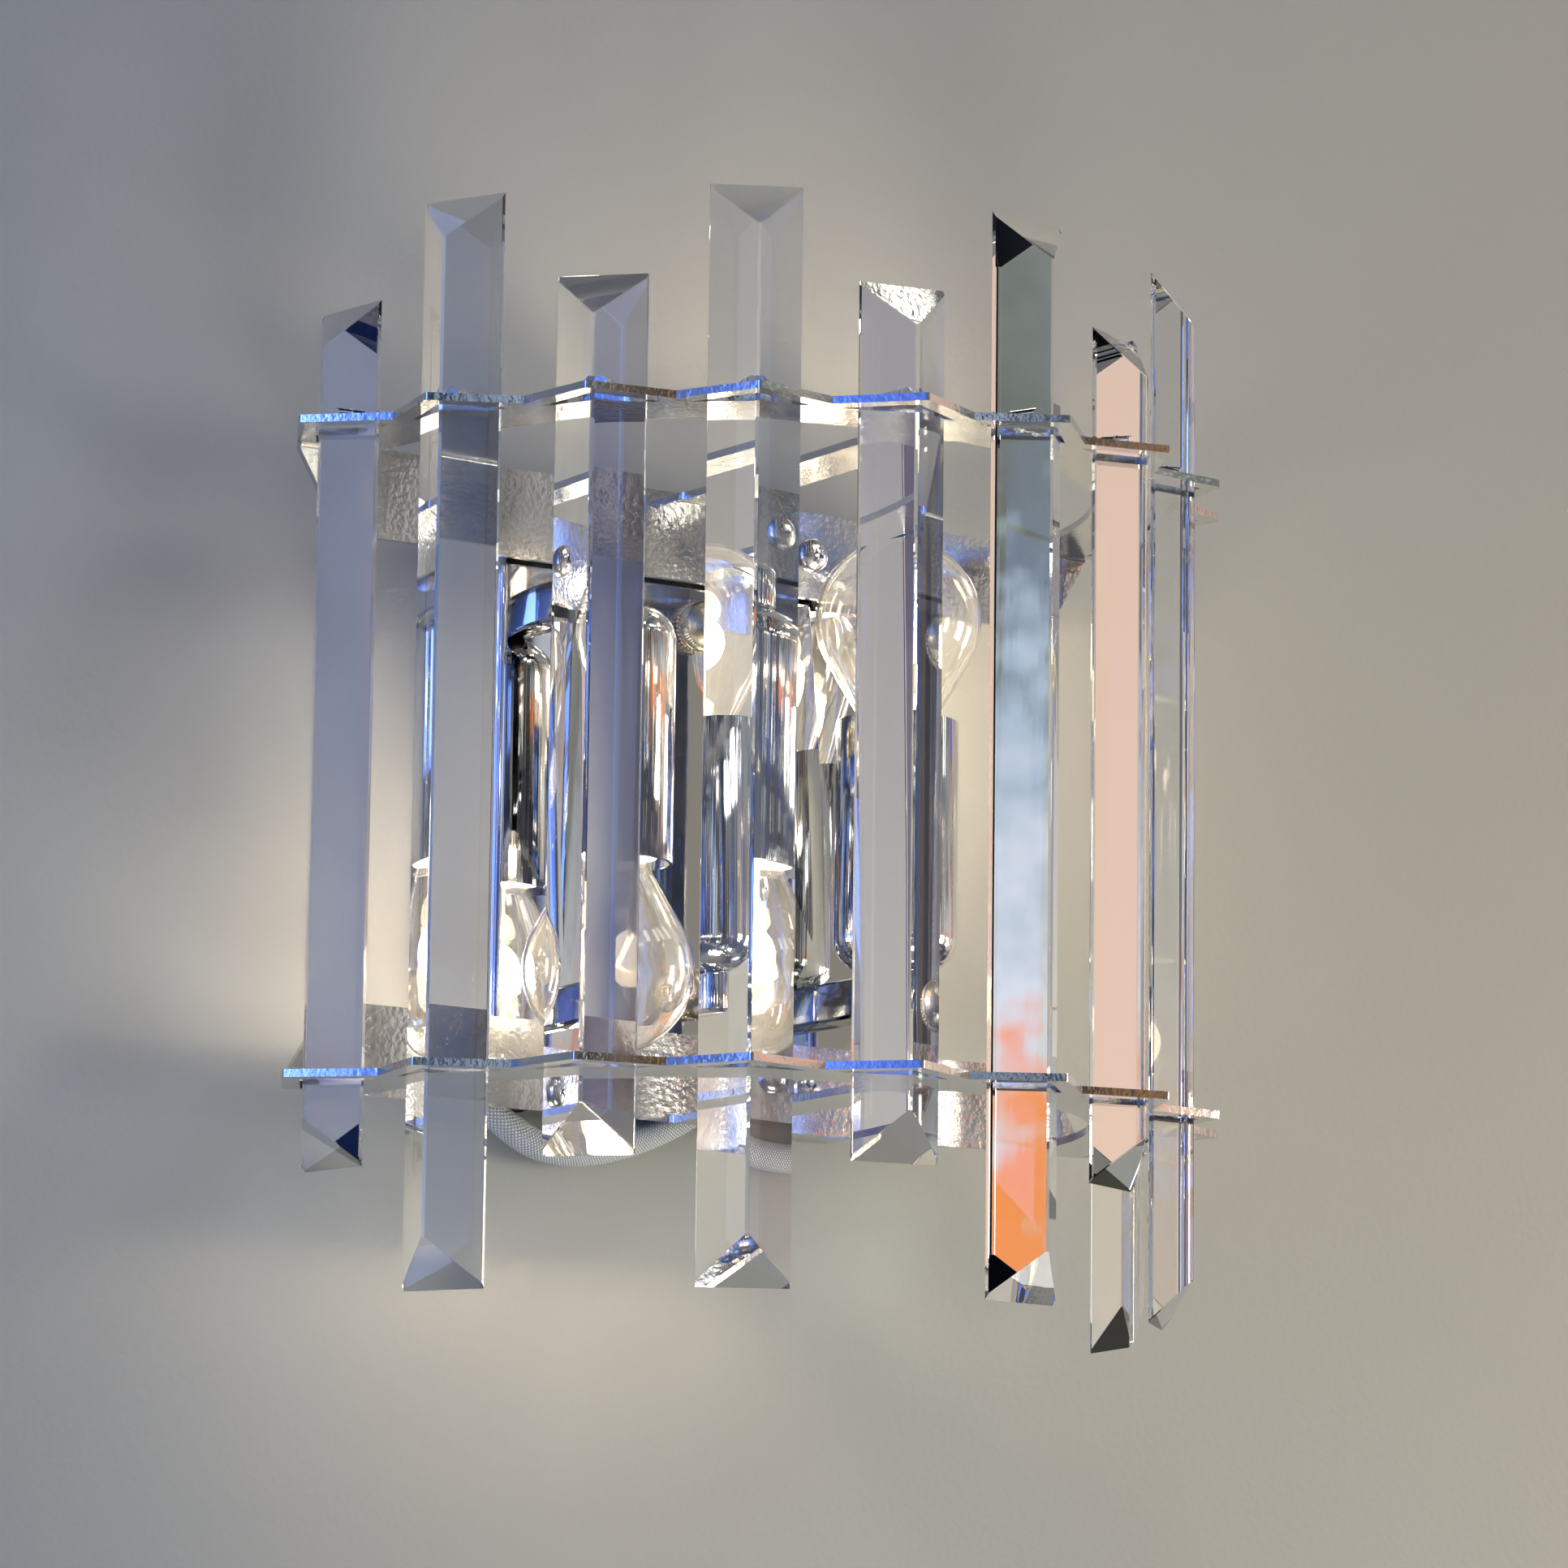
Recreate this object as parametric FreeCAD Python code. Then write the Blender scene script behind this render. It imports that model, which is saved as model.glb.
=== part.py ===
import FreeCAD, Part
import math
import os

# Crystal wall sconce.  Millimetres, +Z up.  The wall is the plane Y = 0, the room is
# towards -Y and the origin is the middle of the wall bar's two screw holes.
# Two identical zigzag sheet frames carry ten hanging crystal prisms round a half
# circle; a polished back box carries two lamps, one mouth down and one mouth up.

V = FreeCAD.Vector
X_AXIS = V(1, 0, 0)
Y_AXIS = V(0, 1, 0)
Z_AXIS = V(0, 0, 1)

# ---- back box, wall bar and cap nuts ------------------------------------------------
box_width = 124.0
box_height = 167.0
box_depth = 22.0
box_wall = 1.5
box_corner_radius = 3.0
bar_width = 22.0
bar_end_margin = 12.0
bar_thickness = 2.0
bar_end_radius = 5.0
wall_hole_radius = 2.25
wall_hole_spacing = 60.0
wall_cable_hole_radius = 6.0
stud_radius = 2.0
stud_inset = 33.5
stud_in_nut = 6.5
cap_nut_radius = 6.6
cap_nut_band = 1.6
cap_nut_groove = 0.5
cap_nut_groove_depth = 0.6
cap_nut_barrel = 3.5
cap_nut_crown = 3.4
end_gap = 0.2

# ---- zigzag frames ------------------------------------------------------------------
frame_overhang = 2.0
frame_sheet = 2.0
tooth_count = 10
tooth_pitch = 18.0
tooth_rim = 5.6
valley_rim = 3.7
tooth_tip_rounding = 1.0
ring_inner_radius = 104.0
strut_width = 16.0
strut_fillet = 3.0
flange_height = 24.0
flange_top_width = 251.0
flange_free_width = 226.0
flange_bend_radius = 1.0
spacer_length = 3.0
spacer_radius = 4.0
frame_screw_inset = 28.0
frame_screw_radius = 2.0
frame_screw_head_radius = 4.5
frame_screw_rim_height = 1.1
frame_screw_crown_radius = 2.5
frame_screw_crown_height = 1.7
frame_screw_end = 1.0
nut_across_flats = 7.0
nut_height = 3.2
screw_hole_clearance = 0.25
thread_clearance = 0.05

# ---- prisms -------------------------------------------------------------------------
prism_back_radius = 122.8
prism_width = 26.6
prism_base_angle = 38.5
prism_edge_flat = 1.2
prism_apex_flat = 0.5
prism_bevel_drop = 12.7
long_prism_top = 140.0
long_prism_bottom = 140.0
short_prism_top = 116.8
short_prism_bottom = 107.6
prism_slot_clearance = 0.8
pin_radius = 1.75
pin_inside = 5.0
pin_outside = 4.2
pin_fit = 0.05
pin_rest_gap = 0.05

# ---- lamp arms, cups and holders ----------------------------------------------------
arm_x = 45.0
upper_arm_drop = 32.5
lower_arm_rise = 34.5
arm_width = 10.0
arm_height = 11.0
arm_reach_to_cup = 31.0
arm_edge_break = 0.9
arm_bore_radius = 2.8
arm_stub_radius = 4.75
arm_stub_length = 7.0
arm_nut_across_flats = 14.0
arm_nut_height = 3.0
cup_radius = 16.5
cup_length = 68.0
cup_wall = 1.0
cup_dome_radius = 9.0
nipple_radius = 4.0
nipple_bore_radius = 2.6
nipple_in_arm = 6.0
nipple_in_holder = 5.0
nipple_fit = 0.1
holder_radius = 12.5
holder_length = 34.0
holder_mouth_depth = 1.5
holder_mouth_radius = 10.8
holder_cavity_radius = 8.2
holder_base = 6.0
holder_foot_radius = 7.0
holder_foot_height = 4.0
holder_ledge = 1.0
holder_flare = 2.0
shell_wall = 0.5
shell_length = 15.0
shell_top_depth = 10.0
contact_width = 4.0
contact_thickness = 0.5
contact_length = 11.0

# ---- golf-ball lamp -----------------------------------------------------------------
bulb_radius = 22.5
bulb_length = 78.0
bulb_above_mouth = 50.5
bulb_taper = 30.0
bulb_neck_radius = 8.0
bulb_glass_wall = 0.8
bulb_neck_in_cap = 3.0
bulb_inner_flats = 8
cap_skirt_radius = 8.8
cap_skirt_length = 4.3
cap_shoulder = 1.5
cap_thread_radius = 6.95
cap_taper = 4.0
cap_contact_radius = 2.4
cap_contact_height = 1.2
cap_fit = 0.05
thread_running_gap = 0.35
stem_flare_radius = 6.0
stem_flare_height = 5.0
stem_radius = 2.2
stem_height = 17.0
filament_height = 26.0
filament_span = 15.0
filament_flat = 7.0
filament_rise = 2.5
lead_root = 1.3
lead_in_stem = 1.0
filament_radius = 0.45

# ---- supply cable -------------------------------------------------------------------
cable_diameter = 8.0
cable_notch_depth = 12.0
right_notch_x = 5.0
right_notch_width = 28.0
left_notch_x = -51.5
left_notch_width = 16.0
terminal_width = 20.0
terminal_depth = 14.0
terminal_height = 14.0
terminal_gap = 1.0
terminal_side_gap = 2.0
terminal_floor_gap = 2.5
terminal_well_radius = 2.0
terminal_well_depth = 4.0
terminal_poles = 3

# ---- places that follow from the sizes ----------------------------------------------
box_front_y = -box_depth
flange_back_y = box_front_y - spacer_length
ring_centre_y = flange_back_y - frame_sheet
half_w = box_width / 2.0
half_h = box_height / 2.0
half_frame = half_h + frame_overhang
stud_spacing = box_height - 2.0 * stud_inset
bar_height = stud_spacing + 2.0 * bar_end_margin
upper_arm_z = half_h - upper_arm_drop
lower_arm_z = lower_arm_rise - half_h
frame_screw_x = half_w - frame_screw_inset
frame_screw_z = half_frame - flange_height / 2.0
arm_axis_y = box_front_y - arm_reach_to_cup
prism_depth = prism_width / 2.0 * math.tan(math.radians(prism_base_angle))
slot_growth = prism_slot_clearance / math.cos(math.radians(prism_base_angle))
tooth_tip_radius = prism_back_radius + prism_depth + slot_growth + tooth_rim
tooth_valley_radius = prism_back_radius + valley_rim
pin_z = half_frame + pin_rest_gap + pin_radius
ball_centre = bulb_above_mouth - bulb_radius
cap_end = bulb_above_mouth - bulb_length
neck_run = bulb_radius * math.cos(math.radians(bulb_taper)) - bulb_neck_radius
neck_top = (
    ball_centre
    - bulb_radius * math.sin(math.radians(bulb_taper))
    - neck_run / math.tan(math.radians(bulb_taper))
)
cap_top = neck_top - cap_fit
terminal_x = half_w - box_wall - terminal_side_gap - terminal_width
terminal_z = -half_h + box_wall + terminal_floor_gap + terminal_height / 2.0

nodes = {}


def keep(name, shape):
    nodes[name] = shape


def cylinder(radius, length, base, axis):
    return Part.makeCylinder(radius, length, base, axis)


def block(x0, x1, y0, y1, z0, z1):
    return Part.makeBox(x1 - x0, y1 - y0, z1 - z0, V(x0, y0, z0))


def prism_from(points, direction):
    wire = Part.makePolygon(points + [points[0]])
    return Part.Face(wire).extrude(direction)


def hexagon(across_flats, height, base, axis):
    # a hexagonal prism on base, pointing along the Y axis
    radius = across_flats / 2.0 / math.cos(math.radians(30))
    corners = []
    for i in range(6):
        a = math.radians(60 * i)
        corners.append(base + V(radius * math.cos(a), 0, radius * math.sin(a)))
    return prism_from(corners, axis * height)


def polar(radius, angle):
    # a point of the half circle: 0 degrees is straight into the room
    a = math.radians(angle)
    return V(radius * math.sin(a), ring_centre_y - radius * math.cos(a), 0)


def tooth_angle(number):
    return (number - (tooth_count + 1) / 2.0) * tooth_pitch


def in_tooth(number, radial, across, z):
    # local place in a tooth: distance from the ring's centre, then sideways
    a = math.radians(tooth_angle(number))
    x = radial * math.sin(a) + across * math.cos(a)
    y = ring_centre_y - radial * math.cos(a) + across * math.sin(a)
    return V(x, y, z)


# ---- one zigzag frame ---------------------------------------------------------------
def zigzag_outline(z):
    points = [V(-flange_top_width / 2.0, flange_back_y, z)]
    for number in range(1, tooth_count + 1):
        valley = polar(tooth_valley_radius, tooth_angle(number) - tooth_pitch / 2.0)
        points.append(V(valley.x, valley.y, z))
        tip = polar(tooth_tip_radius, tooth_angle(number))
        points.append(V(tip.x, tip.y, z))
    valley = polar(tooth_valley_radius, tooth_angle(tooth_count) + tooth_pitch / 2.0)
    points.append(V(valley.x, valley.y, z))
    points.append(V(flange_top_width / 2.0, flange_back_y, z))
    return points


def prism_section(number, z, growth):
    # the prism's sharp triangle, grown evenly on every side
    base = math.radians(prism_base_angle)
    half = prism_width / 2.0 + growth / math.tan(base / 2.0)
    back = prism_back_radius - growth
    apex = prism_back_radius + prism_depth + growth / math.cos(base)
    return [
        in_tooth(number, back, -half, z),
        in_tooth(number, back, half, z),
        in_tooth(number, apex, 0, z),
    ]


def ring_pocket(side, z):
    # a quarter of the ring's inside, between the strut and the flange
    disc = cylinder(ring_inner_radius, frame_sheet * 3, V(0, ring_centre_y, z), Z_AXIS)
    reach = ring_inner_radius + 1
    inner = strut_width / 2.0
    low, high = (inner, reach) if side > 0 else (-reach, -inner)
    quarter = disc.common(block(low, high, ring_centre_y - reach, ring_centre_y, z, z + frame_sheet * 3))
    corners = []
    for edge in quarter.Edges:
        box = edge.BoundBox
        upright = box.ZLength > frame_sheet and box.XLength < 0.01 and box.YLength < 0.01
        if upright and abs(abs(box.Center.x) - inner) < 0.01:
            corners.append(edge)
    return quarter.makeFillet(strut_fillet, corners)


def bent_strip(top, under):
    # the bend and the flange: one L-shaped run of sheet with an even thickness
    bend_y = ring_centre_y - flange_bend_radius
    bend_z = under - flange_bend_radius
    turn = math.sin(math.radians(45))
    outer_r = flange_bend_radius + frame_sheet
    free = top - flange_height
    forward = bend_y - 1.0
    profile = [
        Part.makeLine(V(0, forward, top), V(0, bend_y, top)),
        Part.Arc(
            V(0, bend_y, top),
            V(0, bend_y + outer_r * turn, bend_z + outer_r * turn),
            V(0, flange_back_y, bend_z),
        ).toShape(),
        Part.makeLine(V(0, flange_back_y, bend_z), V(0, flange_back_y, free)),
        Part.makeLine(V(0, flange_back_y, free), V(0, ring_centre_y, free)),
        Part.makeLine(V(0, ring_centre_y, free), V(0, ring_centre_y, bend_z)),
        Part.Arc(
            V(0, ring_centre_y, bend_z),
            V(0, bend_y + flange_bend_radius * turn, bend_z + flange_bend_radius * turn),
            V(0, bend_y, under),
        ).toShape(),
        Part.makeLine(V(0, bend_y, under), V(0, forward, under)),
        Part.makeLine(V(0, forward, under), V(0, forward, top)),
    ]
    half = flange_top_width / 2.0
    strip = Part.Face(Part.Wire(profile)).extrude(V(flange_top_width, 0, 0))
    strip.translate(V(-half, 0, 0))
    for side in (-1, 1):
        corner = prism_from(
            [
                V(side * half, forward - 1, bend_z),
                V(side * (half + 1), forward - 1, bend_z),
                V(side * (half + 1), forward - 1, free - 1),
                V(side * flange_free_width / 2.0, forward - 1, free - 1),
                V(side * flange_free_width / 2.0, forward - 1, free),
            ],
            V(0, frame_sheet * 4, 0),
        )
        strip = strip.cut(corner)
    return strip


def frame_plate():
    # drawn as the upper frame: plate on top, flange hanging down against the back box
    top = half_frame
    under = top - frame_sheet
    plate = prism_from(zigzag_outline(under), V(0, 0, frame_sheet))
    tips = []
    for edge in plate.Edges:
        box = edge.BoundBox
        if box.ZLength > frame_sheet / 2.0 and box.XLength < 0.01 and box.YLength < 0.01:
            r = math.hypot(box.Center.x, box.Center.y - ring_centre_y)
            if abs(r - tooth_tip_radius) < 0.01:
                tips.append(edge)
    plate = plate.makeFillet(tooth_tip_rounding, tips)
    reach = tooth_tip_radius * 1.1
    bend_y = ring_centre_y - flange_bend_radius
    plate = plate.common(block(-reach, reach, bend_y - reach, bend_y, under - 1, top + 1))
    body = plate.fuse(bent_strip(top, under)).removeSplitter()
    for side in (-1, 1):
        body = body.cut(ring_pocket(side, under - frame_sheet))
    for number in range(1, tooth_count + 1):
        low = prism_section(number, under - 1, prism_slot_clearance)
        body = body.cut(prism_from(low, V(0, 0, frame_sheet + 2)))
    for side in (-1, 1):
        hole = cylinder(
            frame_screw_radius + screw_hole_clearance,
            frame_sheet * 4,
            V(side * frame_screw_x, ring_centre_y - frame_sheet, frame_screw_z),
            Y_AXIS,
        )
        body = body.cut(hole)
    return body


upper = frame_plate()
keep("upper_frame", upper)
keep("lower_frame", upper.mirror(V(0, 0, 0), Z_AXIS))

# ---- crystal prisms and their hanging pins ------------------------------------------
def crystal(number, top, bottom):
    half = prism_width / 2.0
    slope = math.tan(math.radians(prism_base_angle))
    cut = prism_edge_flat / slope
    apex = prism_back_radius + prism_depth - prism_apex_flat * slope
    section = [
        in_tooth(number, prism_back_radius, -(half - cut), -bottom),
        in_tooth(number, prism_back_radius, half - cut, -bottom),
        in_tooth(number, prism_back_radius + prism_edge_flat, half - cut, -bottom),
        in_tooth(number, apex, prism_apex_flat, -bottom),
        in_tooth(number, apex, -prism_apex_flat, -bottom),
        in_tooth(number, prism_back_radius + prism_edge_flat, -(half - cut), -bottom),
    ]
    body = prism_from(section, V(0, 0, top + bottom))
    # one sloping facet at each end, from the back edge down to the shorter front edge
    far = prism_back_radius + prism_depth * 1.5
    drop = prism_bevel_drop * 1.5
    for end, sign in ((top, 1), (-bottom, -1)):
        wedge = [
            in_tooth(number, prism_back_radius, -prism_width, end),
            in_tooth(number, far, -prism_width, end),
            in_tooth(number, far, -prism_width, end - sign * drop),
        ]
        across = in_tooth(number, 0, 2 * prism_width, 0) - in_tooth(number, 0, 0, 0)
        body = body.cut(prism_from(wedge, across))
    return body


for number in range(1, tooth_count + 1):
    if number % 2 == 0:
        stick = crystal(number, long_prism_top, long_prism_bottom)
    else:
        stick = crystal(number, short_prism_top, short_prism_bottom)
    inward = in_tooth(number, -1, 0, 0) - in_tooth(number, 0, 0, 0)
    inner_end = in_tooth(number, prism_back_radius + pin_inside, 0, pin_z)
    socket = cylinder(pin_radius + pin_fit, pin_inside + 1, inner_end, inward)
    keep("prism_%02d" % number, stick.cut(socket))
    pin_start = in_tooth(number, prism_back_radius + pin_inside - pin_fit, 0, pin_z)
    pin_length = pin_inside + pin_outside - pin_fit
    keep("prism_pin_%02d" % number, cylinder(pin_radius, pin_length, pin_start, inward))

# ---- back box -----------------------------------------------------------------------
outer = block(-half_w, half_w, box_front_y, 0, -half_h, half_h)
rounded = []
for edge in outer.Edges:
    box = edge.BoundBox
    corner = abs(abs(box.Center.x) - half_w) < 0.01 and abs(abs(box.Center.z) - half_h) < 0.01
    front = box.YLength < 0.01 and abs(box.Center.y - box_front_y) < 0.01
    if corner or front:
        rounded.append(edge)
outer = outer.makeFillet(box_corner_radius, rounded)
inner = block(
    -half_w + box_wall,
    half_w - box_wall,
    box_front_y + box_wall,
    1,
    -half_h + box_wall,
    half_h - box_wall,
)
rounded = []
for edge in inner.Edges:
    box = edge.BoundBox
    inner_w = half_w - box_wall
    inner_h = half_h - box_wall
    corner = abs(abs(box.Center.x) - inner_w) < 0.01 and abs(abs(box.Center.z) - inner_h) < 0.01
    front = box.YLength < 0.01 and abs(box.Center.y - box_front_y - box_wall) < 0.01
    if corner or front:
        rounded.append(edge)
inner = inner.makeFillet(box_corner_radius - box_wall, rounded)
canopy = outer.cut(inner)
arm_places = [(-arm_x, upper_arm_z), (arm_x, lower_arm_z)]
for x, z in arm_places:
    place = V(x, box_front_y - 1, z)
    canopy = canopy.cut(cylinder(arm_stub_radius + thread_clearance, box_wall + 2, place, Y_AXIS))
screw_places = []
for x in (-frame_screw_x, frame_screw_x):
    for z in (-frame_screw_z, frame_screw_z):
        screw_places.append((x, z))
for x, z in screw_places:
    place = V(x, box_front_y - 1, z)
    canopy = canopy.cut(cylinder(frame_screw_radius + screw_hole_clearance, box_wall + 2, place, Y_AXIS))
for side in (-1, 1):
    place = V(0, box_front_y - 1, side * stud_spacing / 2.0)
    canopy = canopy.cut(cylinder(stud_radius + screw_hole_clearance, box_wall + 2, place, Y_AXIS))
for middle, width in ((right_notch_x, right_notch_width), (left_notch_x, left_notch_width)):
    notch = block(
        middle - width / 2.0,
        middle + width / 2.0,
        -cable_notch_depth,
        1,
        -half_h - 1,
        -half_h + box_wall + 1,
    )
    canopy = canopy.cut(notch)
keep("back_box", canopy)

# ---- wall bar, its studs and the knurled cap nuts that hold the box on --------------
bar = block(
    -bar_width / 2.0, bar_width / 2.0, -bar_thickness, 0, -bar_height / 2.0, bar_height / 2.0
)
corners = []
for edge in bar.Edges:
    if edge.BoundBox.YLength > bar_thickness / 2.0:
        corners.append(edge)
bar = bar.makeFillet(bar_end_radius, corners)
through = bar_thickness + 2
for side in (-1, 1):
    wall_place = V(0, 1, side * wall_hole_spacing / 2.0)
    bar = bar.cut(cylinder(wall_hole_radius, through, wall_place, Y_AXIS * -1))
    stud_place = V(0, 1, side * stud_spacing / 2.0)
    bar = bar.cut(cylinder(stud_radius + thread_clearance, through, stud_place, Y_AXIS * -1))
bar = bar.cut(cylinder(wall_cable_hole_radius, through, V(0, 1, 0), Y_AXIS * -1))
keep("wall_bar", bar)


def cap_nut(z):
    # a band against the box for the beads, a groove, a barrel and a crowned end, bored blind
    r = cap_nut_radius
    waist = r - cap_nut_groove_depth
    barrel_start = cap_nut_band + cap_nut_groove
    crown_start = barrel_start + cap_nut_barrel
    tip = crown_start + cap_nut_crown
    ball = (r ** 2 + cap_nut_crown ** 2) / (2.0 * cap_nut_crown)
    half_turn = math.asin(r / ball) / 2.0

    def at(radius, out):
        return V(radius, box_front_y - out, z)

    corners = [
        at(0, tip),
        at(0, 0),
        at(r, 0),
        at(r, cap_nut_band),
        at(waist, cap_nut_band),
        at(waist, barrel_start),
        at(r, barrel_start),
        at(r, crown_start),
    ]
    edges = [Part.makeLine(start, end) for start, end in zip(corners[:-1], corners[1:])]
    bulge = at(ball * math.sin(half_turn), tip - ball + ball * math.cos(half_turn))
    edges.append(Part.Arc(corners[-1], bulge, corners[0]).toShape())
    body = Part.Face(Part.Wire(edges)).revolve(V(0, box_front_y, z), Y_AXIS, 360)
    bore = stud_radius + thread_clearance
    return body.cut(cylinder(bore, stud_in_nut + 1, V(0, box_front_y - stud_in_nut, z), Y_AXIS))


studs = []
cap_nuts = []
for side in (-1, 1):
    z = side * stud_spacing / 2.0
    studs.append(cylinder(stud_radius, box_depth + stud_in_nut - end_gap, V(0, 0, z), Y_AXIS * -1))
    cap_nuts.append(cap_nut(z))
keep("wall_bar_studs", Part.makeCompound(studs))
keep("cap_nuts", Part.makeCompound(cap_nuts))

# ---- screws, spacers and nuts -------------------------------------------------------
def pan_head_screw(place, into, length):
    # a low crowned head standing on place, its shank running along into
    shank = cylinder(frame_screw_radius, length, place, into)
    rim_top = place - into * frame_screw_rim_height
    rim = cylinder(frame_screw_head_radius, frame_screw_rim_height, rim_top, into)
    crown = Part.makeCone(
        frame_screw_head_radius,
        frame_screw_crown_radius,
        frame_screw_crown_height,
        rim_top,
        into * -1,
    )
    return shank.fuse(rim).fuse(crown).removeSplitter()


frame_screws = []
spacers = []
nuts = []
for x, z in screw_places:
    head_place = V(x, ring_centre_y, z)
    shank_length = frame_sheet + spacer_length + box_wall + nut_height + frame_screw_end
    frame_screws.append(pan_head_screw(head_place, Y_AXIS, shank_length))
    bore = frame_screw_radius + screw_hole_clearance
    spacer = cylinder(spacer_radius, spacer_length, V(x, flange_back_y, z), Y_AXIS)
    spacers.append(spacer.cut(cylinder(bore, spacer_length + 2, V(x, flange_back_y - 1, z), Y_AXIS)))
    nut_place = V(x, box_front_y + box_wall, z)
    nut = hexagon(nut_across_flats, nut_height, nut_place, Y_AXIS)
    tapped = cylinder(frame_screw_radius + thread_clearance, nut_height + 2, nut_place - Y_AXIS, Y_AXIS)
    nuts.append(nut.cut(tapped))
keep("frame_screws", Part.makeCompound(frame_screws))
keep("frame_spacers", Part.makeCompound(spacers))
keep("frame_nuts", Part.makeCompound(nuts))

# ---- lamp arms ----------------------------------------------------------------------
def lamp_arm(x, z, toward_cup):
    # a bar with a half-round end, bored for the wires, with a threaded stub at the back
    half = arm_width / 2.0
    bar = block(x - half, x + half, arm_axis_y, box_front_y, z - arm_height / 2.0, z + arm_height / 2.0)
    bar = bar.fuse(cylinder(half, arm_height, V(x, arm_axis_y - half, z - arm_height / 2.0), Z_AXIS))
    bar = bar.fuse(
        block(x - half, x + half, arm_axis_y - half, arm_axis_y, z - arm_height / 2.0, z + arm_height / 2.0)
    )
    bar = bar.removeSplitter()
    long_edges = []
    for edge in bar.Edges:
        box = edge.BoundBox
        flat = box.ZLength < 0.01 and abs(abs(box.Center.z - z) - arm_height / 2.0) < 0.01
        upright = box.YLength < 0.01 and abs(box.Center.y - box_front_y) < 0.01
        if flat or upright:
            long_edges.append(edge)
    bar = bar.makeChamfer(arm_edge_break, long_edges)
    bar = bar.fuse(cylinder(arm_stub_radius, arm_stub_length, V(x, box_front_y, z), Y_AXIS))
    bore_length = arm_reach_to_cup + arm_stub_length + 1
    bar = bar.cut(cylinder(arm_bore_radius, bore_length, V(x, arm_axis_y, z), Y_AXIS))
    seat = V(x, arm_axis_y, z + toward_cup * arm_height / 2.0)
    hole = cylinder(
        nipple_radius + nipple_fit, nipple_in_arm + 1, seat + Z_AXIS * toward_cup, Z_AXIS * -toward_cup
    )
    return bar.cut(hole)


lamps = [
    ("upper", -arm_x, upper_arm_z, -1),
    ("lower", arm_x, lower_arm_z, 1),
]
arm_nuts = []
nipples = []
contacts = []


def turned(profile, x, z, direction):
    # a turned piece: profile is (radius, distance along the lamp axis from the cup mouth),
    # and positive distances run out of the mouth
    points = []
    for r, w in profile:
        points.append(V(x + r, arm_axis_y, z + direction * w))
    wire = Part.makePolygon(points + [points[0]])
    return Part.Face(wire).revolve(V(x, arm_axis_y, z), Z_AXIS, 360)


def cup(x, mouth_z, direction):
    outer_r = cup_radius
    inner_r = cup_radius - cup_wall
    hole_r = nipple_radius + nipple_fit
    middle = math.radians(45)
    centre_r = outer_r - cup_dome_radius
    centre_w = -cup_length + cup_dome_radius

    def at(radius, w):
        return V(x + radius, arm_axis_y, mouth_z + direction * w)

    # the shoulder is round outside and a plain cone inside, a wall's thickness away
    turn_r = centre_r + cup_dome_radius * math.cos(middle)
    turn_w = centre_w - cup_dome_radius * math.sin(middle)
    inner_turn = (cup_dome_radius - cup_wall) * math.tan(math.radians(22.5)) * 2.0 * math.sin(middle)
    shoulder_out = at(outer_r, centre_w)
    shoulder_end = at(centre_r, -cup_length)
    cone_start = at(inner_r, -cup_length + cup_wall + inner_turn * math.sqrt(2.0))
    cone_end = at(inner_r - inner_turn * math.sqrt(2.0), -cup_length + cup_wall)
    edges = [
        Part.makeLine(at(outer_r, 0), shoulder_out),
        Part.Arc(shoulder_out, at(turn_r, turn_w), shoulder_end).toShape(),
        Part.makeLine(shoulder_end, at(hole_r, -cup_length)),
        Part.makeLine(at(hole_r, -cup_length), at(hole_r, -cup_length + cup_wall)),
        Part.makeLine(at(hole_r, -cup_length + cup_wall), cone_end),
        Part.makeLine(cone_end, cone_start),
        Part.makeLine(cone_start, at(inner_r, 0)),
        Part.makeLine(at(inner_r, 0), at(outer_r, 0)),
    ]
    return Part.Face(Part.Wire(edges)).revolve(V(x, arm_axis_y, mouth_z), Z_AXIS, 360)


def bulb_glass(x, mouth_z, direction):
    # a ball on a tapering neck, one thin wall, open where the neck stands in the cap
    taper = math.radians(bulb_taper)
    wall = bulb_glass_wall

    def at(radius, w):
        return V(x + radius, arm_axis_y, mouth_z + direction * w)

    def tangent(ball):
        return ball * math.cos(taper), ball_centre - ball * math.sin(taper)

    def neck_height(ball, neck):
        r, w = tangent(ball)
        return w - (r - neck) / math.tan(taper)

    neck_end = cap_top - bulb_neck_in_cap
    join_r, join_w = tangent(bulb_radius)
    edges = [
        Part.makeLine(at(bulb_neck_radius, neck_end), at(bulb_neck_radius, neck_top)),
        Part.makeLine(at(bulb_neck_radius, neck_top), at(join_r, join_w)),
        Part.Arc(
            at(join_r, join_w),
            at(bulb_radius, ball_centre),
            at(0, ball_centre + bulb_radius),
        ).toShape(),
    ]
    # the hidden inner wall follows in short flats, so that the ball isn't meshed twice
    ball = bulb_radius - wall
    inner = [at(0, ball_centre + ball)]
    sweep = math.radians(90) + taper
    for i in range(1, bulb_inner_flats + 1):
        a = math.radians(90) - sweep * i / bulb_inner_flats
        inner.append(at(ball * math.cos(a), ball_centre + ball * math.sin(a)))
    inner.append(at(bulb_neck_radius - wall, neck_height(ball, bulb_neck_radius - wall)))
    inner.append(at(bulb_neck_radius - wall, neck_end))
    edges.append(Part.makeLine(at(0, ball_centre + bulb_radius), inner[0]))
    for start, end in zip(inner[:-1], inner[1:]):
        edges.append(Part.makeLine(start, end))
    edges.append(Part.makeLine(inner[-1], at(bulb_neck_radius, neck_end)))
    return Part.Face(Part.Wire(edges)).revolve(V(x, arm_axis_y, mouth_z), Z_AXIS, 360)


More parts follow.
